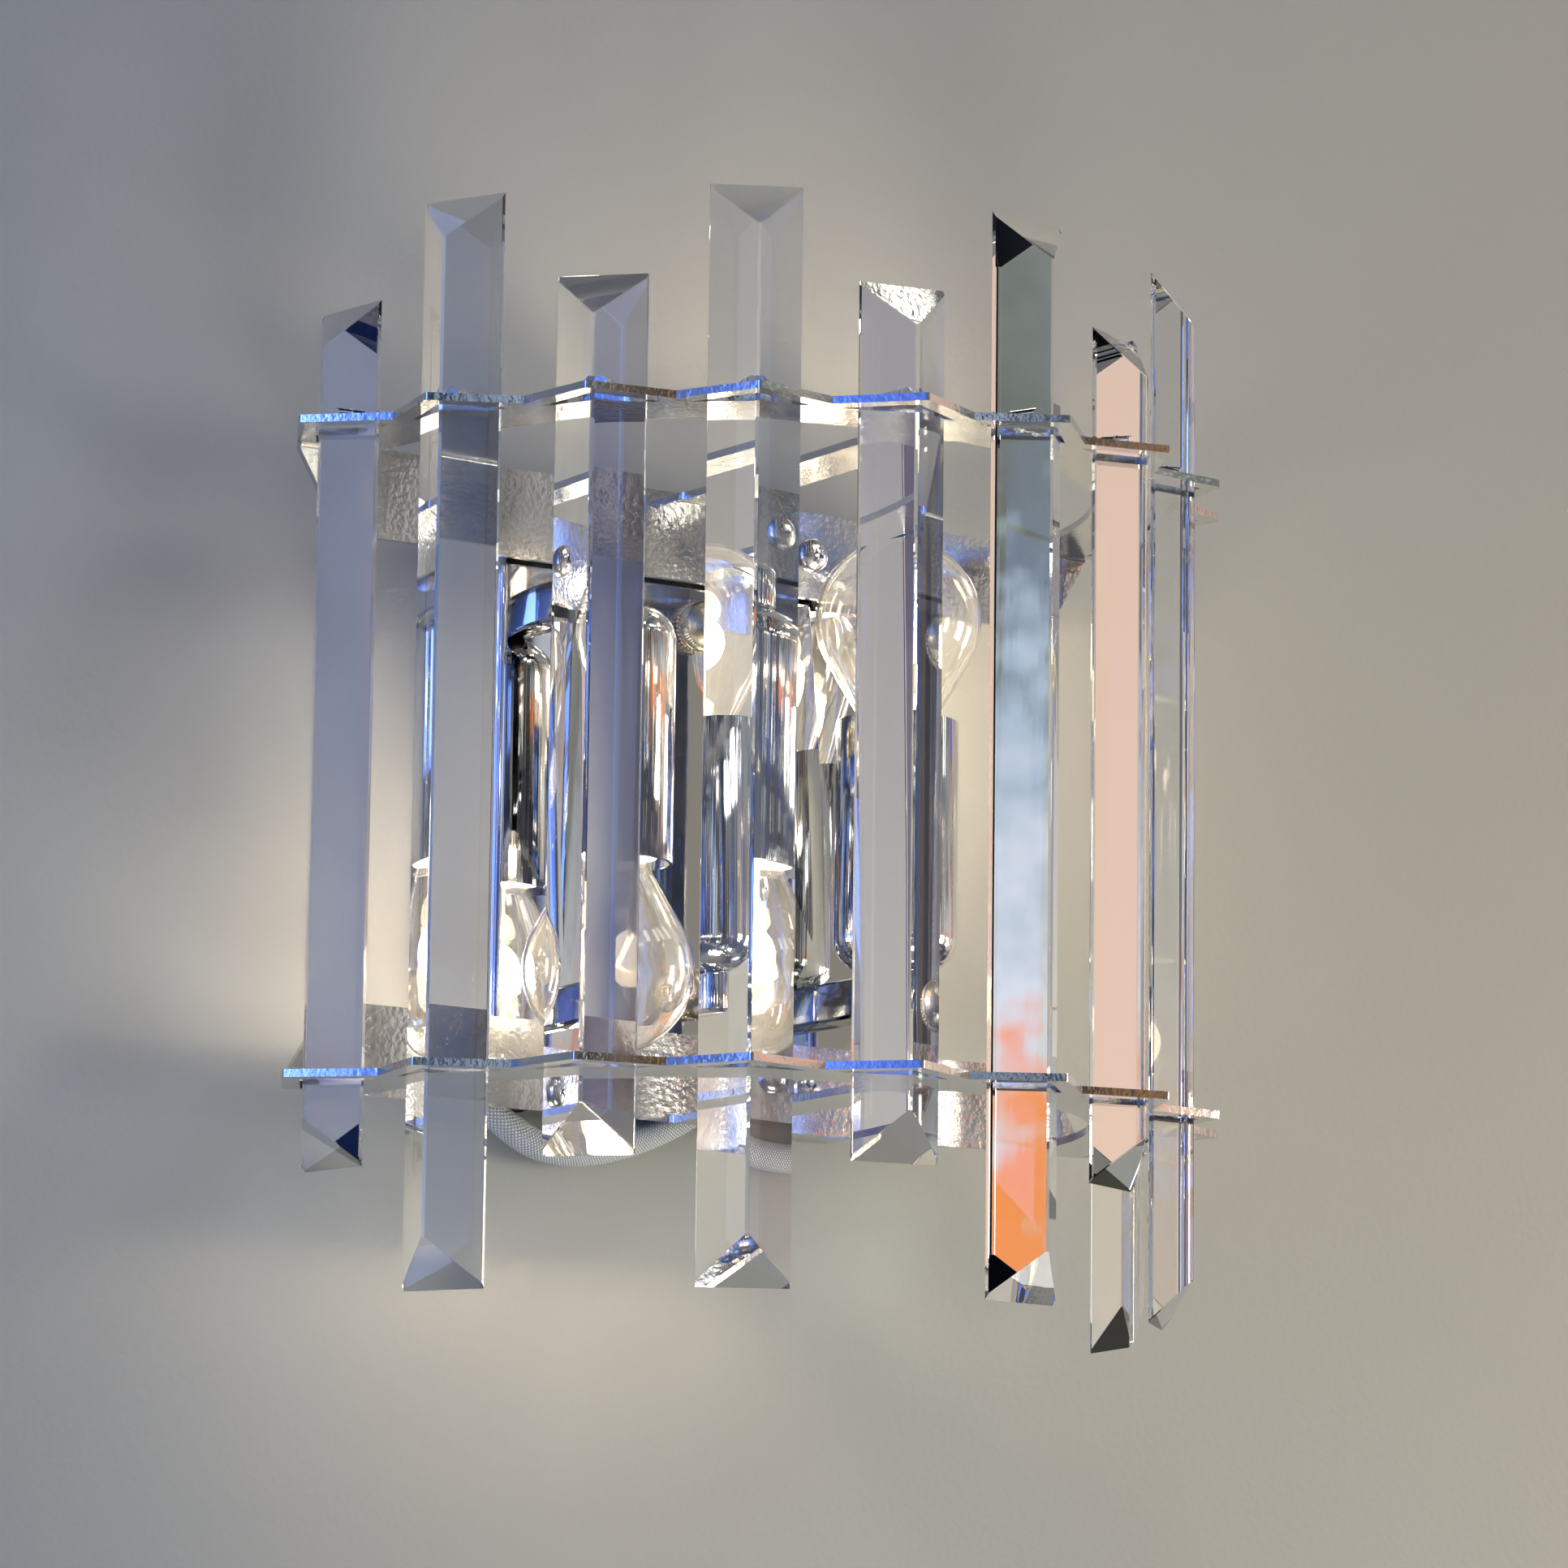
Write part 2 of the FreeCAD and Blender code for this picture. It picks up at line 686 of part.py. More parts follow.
for name, x, arm_z, direction in lamps:
    # direction is the way the cup's mouth and the bulb point
    keep(name + "_arm", lamp_arm(x, arm_z, direction))
    nut_place = V(x, box_front_y + box_wall, arm_z)
    nut = hexagon(arm_nut_across_flats, arm_nut_height, nut_place, Y_AXIS)
    tapped = cylinder(arm_stub_radius + thread_clearance, arm_nut_height + 2, nut_place - Y_AXIS, Y_AXIS)
    arm_nuts.append(nut.cut(tapped))

    cup_end = arm_z + direction * arm_height / 2.0
    mouth_z = cup_end + direction * cup_length
    keep(name + "_cup", cup(x, mouth_z, direction))

    holder_top = -holder_mouth_depth
    holder_end = holder_top - holder_length
    floor = holder_end + holder_base
    bore = nipple_radius + nipple_fit
    ledge = -shell_top_depth + holder_ledge
    keep(
        name + "_lampholder",
        turned(
            [
                (holder_mouth_radius, holder_top),
                (holder_radius, holder_top),
                (holder_radius, holder_end + holder_foot_height),
                (holder_foot_radius, holder_end),
                (bore, holder_end),
                (bore, floor),
                (holder_cavity_radius, floor),
                (holder_cavity_radius, ledge),
                (holder_mouth_radius, ledge + holder_flare),
            ],
            x,
            mouth_z,
            direction,
        ),
    )
    shell_in = cap_thread_radius + thread_running_gap
    keep(
        name + "_socket_shell",
        turned(
            [
                (shell_in, -shell_top_depth),
                (shell_in + shell_wall, -shell_top_depth),
                (shell_in + shell_wall, -shell_top_depth - shell_length),
                (shell_in, -shell_top_depth - shell_length),
            ],
            x,
            mouth_z,
            direction,
        ),
    )
    tongue_w = cap_end - cap_fit
    z_a = mouth_z + direction * tongue_w
    z_b = mouth_z + direction * (tongue_w - contact_thickness)
    z_c = mouth_z + direction * (floor + cap_fit)
    half = contact_width / 2.0
    tongue = block(
        x - contact_length / 2.0,
        x + contact_length / 2.0,
        arm_axis_y - half,
        arm_axis_y + half,
        min(z_a, z_b),
        max(z_a, z_b),
    )
    leg = block(
        x + contact_length / 2.0 - contact_thickness,
        x + contact_length / 2.0,
        arm_axis_y - half,
        arm_axis_y + half,
        min(z_a, z_c),
        max(z_a, z_c),
    )
    contacts.append(tongue.fuse(leg).removeSplitter())

    nipple_start = holder_end + nipple_in_holder
    nipple_end = -cup_length - nipple_in_arm + end_gap
    nipples.append(
        turned(
            [
                (nipple_bore_radius, nipple_start),
                (nipple_radius, nipple_start),
                (nipple_radius, nipple_end),
                (nipple_bore_radius, nipple_end),
            ],
            x,
            mouth_z,
            direction,
        )
    )

    keep(name + "_bulb_glass", bulb_glass(x, mouth_z, direction))

    seat = bulb_neck_radius + cap_fit
    neck_end = cap_top - bulb_neck_in_cap
    skirt_end = cap_top - cap_skirt_length
    profile = [
        (seat, cap_top),
        (cap_skirt_radius, cap_top),
        (cap_skirt_radius, skirt_end),
        (cap_thread_radius, skirt_end - cap_shoulder),
        (cap_thread_radius, cap_end + cap_taper),
        (cap_contact_radius, cap_end + cap_contact_height),
        (cap_contact_radius, cap_end),
        (0, cap_end),
        (0, neck_end - cap_fit),
        (seat, neck_end - cap_fit),
    ]
    keep(name + "_bulb_cap", turned(profile, x, mouth_z, direction))

    keep(
        name + "_bulb_stem",
        turned(
            [
                (0, neck_end),
                (stem_flare_radius, neck_end),
                (stem_radius, neck_end + stem_flare_height),
                (stem_radius, stem_height),
                (0, stem_height),
            ],
            x,
            mouth_z,
            direction,
        ),
    )

    # filament: two leads from the stem and a wide bent coil line between them
    span = filament_span / 2.0
    flat = filament_flat / 2.0
    route = [
        (-lead_root, stem_height - lead_in_stem),
        (-span, filament_height),
        (-flat, filament_height + filament_rise),
        (flat, filament_height + filament_rise),
        (span, filament_height),
        (lead_root, stem_height - lead_in_stem),
    ]
    points = [V(x + a, arm_axis_y, mouth_z + direction * b) for a, b in route]
    wire = None
    for start, end in zip(points[:-1], points[1:]):
        run = end - start
        piece = cylinder(filament_radius, run.Length, start, run)
        wire = piece if wire is None else wire.fuse(piece)
    keep(name + "_bulb_filament", wire.cut(nodes[name + "_bulb_stem"]))

keep("arm_nuts", Part.makeCompound(arm_nuts))
keep("cup_nipples", Part.makeCompound(nipples))
keep("socket_contacts", Part.makeCompound(contacts))

# ---- terminal block and the braided supply cable ------------------------------------
box_bottom = -half_h
cable_points = [
    V(terminal_x, -7.5, terminal_z),
    V(21.5, -7.5, terminal_z),
    V(5.0, -6.5, box_bottom + 0.5),
    V(-11.0, -5.6, box_bottom - 6.5),
    V(-27.0, -5.2, box_bottom - 9.7),
    V(-43.0, -5.2, box_bottom - 7.1),
    V(-55.3, -5.2, box_bottom + 3.3),
]
terminal_y = box_front_y + box_wall + terminal_gap
terminal = block(
    terminal_x,
    terminal_x + terminal_width,
    terminal_y,
    terminal_y + terminal_depth,
    terminal_z - terminal_height / 2.0,
    terminal_z + terminal_height / 2.0,
)
for pole in range(terminal_poles):
    x = terminal_x + terminal_width * (pole + 0.5) / terminal_poles
    mouth = V(x, terminal_y + terminal_depth, terminal_z)
    terminal = terminal.cut(
        cylinder(terminal_well_radius, terminal_well_depth, mouth, Y_AXIS * -1)
    )
keep("terminal_block", terminal)


def cable_tube(points, radius):
    # straight runs joined by tangent arcs, each arc as wide as its two runs allow
    edges = []
    start = points[0]
    for i in range(1, len(points) - 1):
        before = points[i] - points[i - 1]
        after = points[i + 1] - points[i]
        turn = before.getAngle(after)
        share = 0.45 * min(before.Length, after.Length)
        bend = share / math.tan(turn / 2.0)
        a = points[i] - before.normalize() * share
        b = points[i] + after.normalize() * share
        back = (a - points[i]).normalize() + (b - points[i]).normalize()
        back.normalize()
        centre = points[i] + back * (bend / math.cos(turn / 2.0))
        middle = centre - back * bend
        print("cable bend radius %.1f mm" % bend)
        edges.append(Part.makeLine(start, a))
        edges.append(Part.Arc(a, middle, b).toShape())
        start = b
    edges.append(Part.makeLine(start, points[-1]))
    path = Part.Wire(edges)
    first = points[1] - points[0]
    ring = Part.Wire(Part.Circle(points[0], first, radius).toShape())
    tube = path.makePipeShell([ring], True, False)
    print("cable length %.1f mm" % path.Length)
    print("cable volume ratio %.4f" % (tube.Volume / (math.pi * radius ** 2 * path.Length)))
    return tube


keep("supply_cable", cable_tube(cable_points, cable_diameter / 2.0))

# ---- write one file per piece -------------------------------------------------------
os.makedirs("parts", exist_ok=True)
for name, shape in nodes.items():
    shape.exportStep("parts/%s.step" % name)
print("pieces", len(nodes))
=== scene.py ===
import math

import bmesh
import bpy
from mathutils import Matrix, Vector


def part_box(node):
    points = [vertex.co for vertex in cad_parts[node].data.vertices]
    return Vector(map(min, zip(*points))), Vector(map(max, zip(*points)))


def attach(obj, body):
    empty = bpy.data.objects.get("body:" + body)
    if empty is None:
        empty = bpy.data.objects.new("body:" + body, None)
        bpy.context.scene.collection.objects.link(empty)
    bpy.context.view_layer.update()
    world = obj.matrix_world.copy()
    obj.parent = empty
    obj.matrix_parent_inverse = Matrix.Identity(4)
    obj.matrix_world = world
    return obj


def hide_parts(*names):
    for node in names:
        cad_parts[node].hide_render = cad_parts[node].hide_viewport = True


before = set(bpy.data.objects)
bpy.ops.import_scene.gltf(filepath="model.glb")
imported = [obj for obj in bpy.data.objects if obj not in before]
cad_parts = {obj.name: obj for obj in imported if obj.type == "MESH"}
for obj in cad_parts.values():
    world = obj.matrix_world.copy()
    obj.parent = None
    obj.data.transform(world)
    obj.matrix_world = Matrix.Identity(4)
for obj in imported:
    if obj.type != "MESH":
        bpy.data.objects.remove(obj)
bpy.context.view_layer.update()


# ---- Camera -------------------------------------------------------------------------
# The photograph was taken from a step to the left of the light and a little below it,
# with a long lens, so the uprights stay nearly parallel.
camera_place = Vector((-0.9225, -1.4887, -0.2879))
camera_turn = 0.575477
camera_rise = 0.168978
camera_roll = 0.0123796

camera = bpy.data.objects.new("camera", bpy.data.cameras.new("camera"))
bpy.context.scene.collection.objects.link(camera)
bpy.context.scene.camera = camera
camera.data.sensor_width = 36.0
camera.data.lens = 149.87
camera.data.clip_start = 0.05
camera.data.clip_end = 30.0
ahead = Vector((
    math.sin(camera_turn) * math.cos(camera_rise),
    math.cos(camera_turn) * math.cos(camera_rise),
    math.sin(camera_rise),
))
level = Vector((math.cos(camera_turn), -math.sin(camera_turn), 0.0))
upright = level.cross(ahead)
aside = math.cos(camera_roll) * level + math.sin(camera_roll) * upright
above = math.cos(camera_roll) * upright - math.sin(camera_roll) * level
stand = Matrix((aside, above, -ahead)).transposed().to_4x4()
stand.translation = camera_place
camera.matrix_world = stand


# ---- Supply cable -------------------------------------------------------------------
# A braided white and grey sleeve over the mains leads. It leaves the terminal block in
# the back box, hangs in a shallow loop under the box and goes back up to the wall.
cable_route = [
    (0.0385, -0.0075, -0.0725),
    (0.0215, -0.0075, -0.0725),
    (0.0050, -0.0065, -0.0830),
    (-0.0110, -0.0056, -0.0900),
    (-0.0270, -0.0052, -0.0932),
    (-0.0430, -0.0052, -0.0906),
    (-0.0553, -0.0052, -0.0802),
]
cable_thickness = 0.008
plaits_along = 64.0
plaits_around = 12.0
plait_depth = 0.0004
yarn_dark = (0.34, 0.36, 0.40)
yarn_light = (0.86, 0.87, 0.90)


def new_finish(name):
    # an empty material, its node tree and its shader
    finish = bpy.data.materials.new(name)
    finish.use_nodes = True
    tree = finish.node_tree
    return finish, tree, tree.nodes["Principled BSDF"]


def node(tree, kind, **settings):
    # a new node: each setting is one of its sockets or one of its properties
    made = tree.nodes.new(kind)
    for setting, value in settings.items():
        if setting in made.inputs:
            made.inputs[setting].default_value = value
        else:
            setattr(made, setting, value)
    return made


def join(tree, start, end):
    tree.links.new(start, end)


def ramp(tree, source, stops):
    # a colour for each value of the source, blended from stop to stop
    made = node(tree, "ShaderNodeValToRGB")
    marks = made.color_ramp.elements
    while len(marks) < len(stops):
        marks.new(0.5)
    for mark, (place, tint) in zip(marks, stops):
        mark.position = place
        mark.color = (*tint, 1)
    join(tree, source, made.inputs["Fac"])
    return made.outputs["Color"]


def stretched(tree, where, scale):
    made = node(tree, "ShaderNodeMapping", Scale=scale)
    join(tree, where, made.inputs["Vector"])
    return made.outputs["Vector"]


def raise_surface(tree, shader, height, strength, depth):
    # bump, for what is too fine for the mesh
    made = node(tree, "ShaderNodeBump", Strength=strength, Distance=depth)
    join(tree, height, made.inputs["Height"])
    join(tree, made.outputs["Normal"], shader.inputs["Normal"])


cable_line = bpy.data.curves.new("supply_cable_sleeve", "CURVE")
cable_line.dimensions = "3D"
spline = cable_line.splines.new("NURBS")
spline.points.add(len(cable_route) - 1)
for point, place in zip(spline.points, cable_route):
    point.co = (*place, 1.0)
spline.order_u = 3
spline.use_endpoint_u = True
spline.resolution_u = 12
cable_line.bevel_depth = cable_thickness / 2
cable_line.bevel_resolution = 8
cable_line.use_fill_caps = True
sleeve = bpy.data.objects.new("supply_cable_sleeve", cable_line)
bpy.context.scene.collection.objects.link(sleeve)

braid, tree, shader = new_finish("braided_sleeve")
along = node(tree, "ShaderNodeTexCoord").outputs["UV"]
crossing = node(tree, "ShaderNodeMath", operation="MULTIPLY")
for side, lean in enumerate((plaits_around, -plaits_around)):
    lay = node(tree, "ShaderNodeTexWave", wave_type="BANDS", bands_direction="DIAGONAL",
               Scale=1.0, Distortion=0.3)
    join(tree, stretched(tree, along, (plaits_along, lean, 1.0)), lay.inputs["Vector"])
    join(tree, lay.outputs["Fac"], crossing.inputs[side])
yarn = ramp(tree, crossing.outputs["Value"], ((0.15, yarn_dark), (0.6, yarn_light)))
join(tree, yarn, shader.inputs["Base Color"])
raise_surface(tree, shader, crossing.outputs["Value"], 0.7, plait_depth)
shader.inputs["Roughness"].default_value = 0.75
cable_line.materials.append(braid)

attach(sleeve, "fixture")
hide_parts("supply_cable")


# ---- Wall and floor -----------------------------------------------------------------
# A pale painted wall with a fine roller grain, painted shade making it darker and cooler on its
# left and painted warm light warmer on its right, a hair behind the box's rim, and a plain floor
# far below. The wall can't be seen from behind, so the back can.
wall_gap = 0.0006
floor_height = -1.35
sheet_size = 9.0
# the wall's tone from left to right: painted shade, darker and bluer, on the left, the wall's own
# paint in the middle and painted warm light on the right
painted_shade_left = (0.21, 0.25, 0.32)
paint_middle = (0.36, 0.365, 0.355)
painted_warm_light_right = (0.31, 0.295, 0.275)
painted_light_starts = -0.26
painted_light_ends = 0.42
painted_light_patches = 0.12


def noise(tree, where, scale, detail, roughness=0.5):
    made = node(tree, "ShaderNodeTexNoise", Scale=scale, Detail=detail, Roughness=roughness)
    join(tree, where, made.inputs["Vector"])
    return made.outputs["Fac"]


def blotched(tree, source, amount, base):
    # base, moved by an amount of the source
    made = node(tree, "ShaderNodeMath", operation="MULTIPLY_ADD")
    made.inputs[1].default_value = amount
    join(tree, source, made.inputs[0])
    join(tree, base, made.inputs[2])
    return made.outputs["Value"]


def share(tree, source, low, high, least=0.0, most=1.0):
    # how far the source is on its way from low to high, as least to most
    made = node(tree, "ShaderNodeMapRange")
    made.inputs["From Min"].default_value = low
    made.inputs["From Max"].default_value = high
    made.inputs["To Min"].default_value = least
    made.inputs["To Max"].default_value = most
    join(tree, source, made.inputs["Value"])
    return made.outputs["Result"]


def either_shader(tree, choice, first, second):
    # the material shows the first shader, or the second where the choice is 1
    made = node(tree, "ShaderNodeMixShader")
    join(tree, choice, made.inputs["Fac"])
    join(tree, first.outputs["BSDF"], made.inputs[1])
    join(tree, second.outputs["BSDF"], made.inputs[2])
    join(tree, made.outputs["Shader"], tree.nodes["Material Output"].inputs["Surface"])


def flat_sheet(name, turn, place, finish):
    shape = bmesh.new()
    bmesh.ops.create_grid(shape, x_segments=1, y_segments=1, size=sheet_size / 2)
    bmesh.ops.rotate(shape, verts=shape.verts, cent=(0, 0, 0), matrix=turn)
    bmesh.ops.translate(shape, verts=shape.verts, vec=place)
    mesh = bpy.data.meshes.new(name)
    shape.to_mesh(mesh)
    shape.free()
    sheet = bpy.data.objects.new(name, mesh)
    bpy.context.scene.collection.objects.link(sheet)
    mesh.materials.append(finish)


paint_and_painted_light, tree, shader = new_finish("wall_paint_and_painted_light")
spot = node(tree, "ShaderNodeTexCoord").outputs["Object"]
sideways = node(tree, "ShaderNodeSeparateXYZ")
join(tree, spot, sideways.inputs["Vector"])
# painted light: the tone across the wall runs from painted shade on the left to painted warm
# light on the right, its edge moved about by noise
painted_light_drift = blotched(tree, noise(tree, spot, 5.0, 2.0), painted_light_patches, sideways.outputs["X"])
shade = ramp(tree, share(tree, painted_light_drift, painted_light_starts, painted_light_ends),
             ((0.0, painted_shade_left), (0.45, paint_middle), (1.0, painted_warm_light_right)))
join(tree, shade, shader.inputs["Base Color"])
raise_surface(tree, shader, noise(tree, spot, 420.0, 3.0, 0.55), 0.10, 0.0008)
shader.inputs["Roughness"].default_value = 0.6
either_shader(tree, node(tree, "ShaderNodeNewGeometry").outputs["Backfacing"],
              shader, node(tree, "ShaderNodeBsdfTransparent"))

flat_sheet("wall", Matrix.Rotation(math.radians(90), 3, "X"), (0, wall_gap, 0), paint_and_painted_light)
flat_sheet("floor", Matrix.Identity(3), (0, 0.1 - sheet_size / 2, floor_height), paint_and_painted_light)


# ---- Lamps and daylight -------------------------------------------------------------
# Soft studio light: a warm panel low on the right whose light grazes the wall, a cool one
# on the left, two fills above and below, and a dim room for the chrome to mirror.
def soft_panel(name, place, aim, width, height, power, colour):
    panel = bpy.data.objects.new(name, bpy.data.lights.new(name, "AREA"))
    bpy.context.scene.collection.objects.link(panel)
    panel.data.shape = "RECTANGLE"
    panel.data.size = width
    panel.data.size_y = height
    panel.data.energy = power
    panel.data.color = colour
    panel.location = place
    panel.rotation_euler = (Vector(aim) - Vector(place)).to_track_quat("-Z", "Y").to_euler()


soft_panel("right_panel", (1.25, -0.62, -0.12), (0, -0.03, -0.02), 0.30, 0.40, 12.0,
           (1.0, 0.95, 0.76))
soft_panel("left_panel", (-1.7, -0.6, 0.2), (-0.3, 0, 0), 0.5, 1.3, 4.0, (0.30, 0.55, 1.0))
soft_panel("top_panel", (1.0, -1.4, 1.2), (0.1, 0, 0), 0.9, 0.5, 7.0, (1.0, 0.98, 0.90))
soft_panel("low_panel", (0.1, -0.9, -1.25), (0, 0, -0.3), 0.6, 0.3, 9.0, (1.0, 0.98, 0.80))

# from left to right: a blue end, three pale strips and an orange one, and a warm end
room_across = (
    (0.00, (0.45, 0.85, 3.00)), (0.10, (0.12, 0.24, 1.00)), (0.22, (0.05, 0.08, 0.18)),
    (0.30, (0.04, 0.05, 0.08)), (0.32, (0.90, 1.10, 1.40)), (0.345, (0.04, 0.05, 0.08)),
    (0.43, (0.035, 0.04, 0.05)), (0.445, (1.10, 1.05, 0.95)), (0.46, (0.035, 0.04, 0.05)),
    (0.55, (0.04, 0.04, 0.05)), (0.57, (1.10, 1.05, 0.90)), (0.59, (0.045, 0.05, 0.05)),
    (0.65, (0.05, 0.05, 0.05)), (0.665, (1.20, 0.55, 0.18)), (0.68, (0.05, 0.055, 0.06)),
    (0.76, (0.30, 0.28, 0.24)), (0.92, (0.30, 0.24, 0.21)), (1.00, (1.00, 0.72, 0.56)),
)
# the corner that the sixth prism shows, upwards: orange, white, pale blue, dark green
room_upward = (
    (0.00, (0.05, 0.05, 0.05)), (0.22, (1.50, 0.36, 0.04)), (0.42, (1.30, 0.42, 0.08)),
    (0.50, (0.95, 0.98, 1.00)), (0.62, (0.50, 0.62, 0.66)), (0.70, (0.16, 0.19, 0.16)),
    (1.00, (0.30, 0.32, 0.29)),
)
corner_top = 0.36
corner_sides = (0.56, 0.90)
corner_fade = (
    (0.00, (0.0, 0.0, 0.0)), (0.14, (1.0, 1.0, 1.0)), (0.60, (1.0, 1.0, 1.0)),
    (1.00, (0.0, 0.0, 0.0)),
)
ripple_height = 0.09

room = bpy.data.worlds.new("room")
bpy.context.scene.world = room
room.use_nodes = True
tree = room.node_tree
way = node(tree, "ShaderNodeTexCoord").outputs["Generated"]
split = node(tree, "ShaderNodeSeparateXYZ")
join(tree, way, split.inputs["Vector"])
ripple = noise(tree, way, 110.0, 2.0, 0.6)
rippled = blotched(tree, ripple, ripple_height, split.outputs["Z"])
across = ramp(tree, share(tree, split.outputs["X"], -1.0, 1.0), room_across)
upward = ramp(tree, share(tree, rippled, 0.0, corner_top), room_upward)
corner = ramp(tree, share(tree, split.outputs["X"], *corner_sides), corner_fade)
walls = node(tree, "ShaderNodeMix", data_type="RGBA")
first_colour, second_colour, mixed_colour = walls.inputs[6], walls.inputs[7], walls.outputs[2]
join(tree, corner, walls.inputs["Factor"])
join(tree, across, first_colour)
join(tree, upward, second_colour)
join(tree, mixed_colour, tree.nodes["Background"].inputs["Color"])
tree.nodes["Background"].inputs["Strength"].default_value = 0.9
bpy.context.scene.view_settings.view_transform = "Standard"


# ---- Zigzag frames ------------------------------------------------------------------
# Two identical pieces of 2 mm steel, laser cut with ten teeth and ten three-cornered
# prism slots, bent once along the back and chrome plated; the edges are just broken.
frame_edge = 0.00012
sharp_edge = math.radians(24)
flat_enough = math.radians(0.6)


def cad_copy(name, ease, rounds=1):
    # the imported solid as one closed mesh, its sharp edges eased by a small bevel
    shape = bmesh.new()
    shape.from_mesh(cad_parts[name].data)
    bmesh.ops.remove_doubles(shape, verts=shape.verts, dist=1e-6)
    bmesh.ops.dissolve_limit(
        shape, angle_limit=flat_enough, verts=shape.verts, edges=shape.edges)
    sharp = []
    for edge in shape.edges:
        if len(edge.link_faces) == 2 and edge.calc_face_angle() > sharp_edge:
            sharp.append(edge)
    if ease > 0:
        bmesh.ops.bevel(
            shape, geom=sharp, offset=ease, segments=rounds, profile=0.5,
            affect="EDGES", clamp_overlap=True, material=-1)
    return shape


def dressed(name, shape, finish, body, stands_for, crease=35.0):
    # a finished piece: shaded smooth up to the crease angle and fixed to its body
    mesh = bpy.data.meshes.new(name)
    shape.to_mesh(mesh)
    shape.free()
    mesh.shade_smooth()
    mesh.set_sharp_from_angle(angle=math.radians(crease))
    mesh.materials.append(finish)
    piece = bpy.data.objects.new(name, mesh)
    bpy.context.scene.collection.objects.link(piece)
    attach(piece, body)
    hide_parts(stands_for)


def plated(name, colour, smooth, rough, peel, peel_scale, draw=(1.0, 1.0, 1.0)):
    # polished or plated metal: a faint haze that comes and goes, and orange peel
    finish, tree, shader = new_finish(name)
    spot = node(tree, "ShaderNodeTexCoord").outputs["Object"]
    haze = noise(tree, spot, 38.0, 4.0, 0.6)
    duller = tuple(part * 0.96 for part in colour)
    join(tree, ramp(tree, haze, ((0.3, duller), (0.7, colour))), shader.inputs["Base Color"])
    join(tree, share(tree, haze, 0.35, 0.7, smooth, rough), shader.inputs["Roughness"])
    skin = noise(tree, stretched(tree, spot, draw), peel_scale, 2.0)
    raise_surface(tree, shader, skin, peel, 0.0002)
    shader.inputs["Metallic"].default_value = 1.0
    return finish


sheet_chrome = plated("sheet_chrome", (0.70, 0.71, 0.72), 0.10, 0.22, 0.45, 620.0)
for name in ("upper_frame", "lower_frame"):
    dressed(name + "_sheet", cad_copy(name, frame_edge), sheet_chrome, "fixture",
            name, 20.0)


# ---- Crystal prisms -----------------------------------------------------------------
# Cut and polished lead-free crystal: five long sides, a flat back and one slanted facet
# at each end, with ground arrises that catch the light. Each hangs from a steel pin.
prism_count = 10
arris = 0.00022
arris_crease = 3.0


def clear_glass(name, colour, ior, rough, scratch, scratch_scale, clear=1.0):
    # smears and fine upright scratches; light for shadows goes straight through
    finish, tree, shader = new_finish(name)
    spot = node(tree, "ShaderNodeTexCoord").outputs["Object"]
    smear = noise(tree, spot, 60.0, 3.0, 0.6)
    join(tree, share(tree, smear, 0.45, 0.75, 0.0, rough), shader.inputs["Roughness"])
    mark = noise(tree, stretched(tree, spot, (1.0, 1.0, 0.12)), scratch_scale, 2.0)
    raise_surface(tree, shader, mark, scratch, 0.0002)
    shader.inputs["Base Color"].default_value = (*colour, 1)
    shader.inputs["Transmission Weight"].default_value = clear
    shader.inputs["IOR"].default_value = ior
    through = node(tree, "ShaderNodeBsdfTransparent", Color=(0.88, 0.88, 0.88, 1))
    either_shader(tree, node(tree, "ShaderNodeLightPath").outputs["Is Shadow Ray"],
                  shader, through)
    return finish


crystal = clear_glass("cut_crystal", (0.985, 0.99, 1.0), 1.54, 0.0, 0.006, 240.0)
pin_steel = plated("pin_steel", (0.72, 0.73, 0.74), 0.18, 0.32, 0.2, 900.0)
for number in range(1, prism_count + 1):
    stick = "prism_%02d" % number
    pin = "prism_pin_%02d" % number
    body = "crystal_%02d" % number
    dressed(stick + "_cut", cad_copy(stick, arris), crystal, body, stick,
            arris_crease)
    dressed(pin + "_wire", cad_copy(pin, 0.0), pin_steel, body, pin)


# ---- Back box -----------------------------------------------------------------------
# A shallow drawn steel box, mirror plated outside, open at the wall. The sconce's frames
# and arms are screwed through its front.
box_edge = 0.00015
box_chrome = plated("box_chrome", (0.86, 0.87, 0.88), 0.015, 0.05, 0.05, 60.0)
dressed("back_box_shell", cad_copy("back_box", box_edge), box_chrome, "fixture",
        "back_box")


# ---- Wall bar and hidden fixings ----------------------------------------------------
# A galvanised upright bar with its two studs, the bright plated spacers and nuts that
# hold the frames and the arms, and the nipples that join cups and arms.
hidden_edge = 0.0001
bar_zinc = plated("galvanised", (0.56, 0.58, 0.60), 0.30, 0.50, 0.3, 160.0)
bright_zinc = plated("bright_zinc", (0.74, 0.75, 0.77), 0.12, 0.28, 0.25, 700.0)
for name, finish, slot in (
    ("wall_bar", bar_zinc, "plate_steel"),
    ("wall_bar_studs", bright_zinc, "plated_steel"),
    ("frame_spacers", bright_zinc, "plated_steel"),
    ("frame_nuts", bright_zinc, "plated_steel"),
    ("arm_nuts", bright_zinc, "plated_steel"),
    ("cup_nipples", bar_zinc, "nipple_steel"),
):
    dressed(name + "_made", cad_copy(name, hidden_edge), finish, "fixture", name)


# ---- Frame screws -------------------------------------------------------------------
# Four M4 screws with low domed heads and a cross recess, turned and rolled from plated
# steel. They hold the flanges to the box through the spacers.
screw_x = 0.034
screw_z = 0.0735
screw_seat = -0.027
screw_tip = -0.0107
screw_radius = 0.002
screw_ridge = 0.0003
screw_pitch = 0.0007
head_radius = 0.0045
head_height = 0.0028
head_band = 0.0007
head_chamfer = 0.0002
recess_depth = 0.0013
recess_half_width = 0.00045
recess_reach = 0.0022
recess_starts = 0.0012
nothing = 1e-7


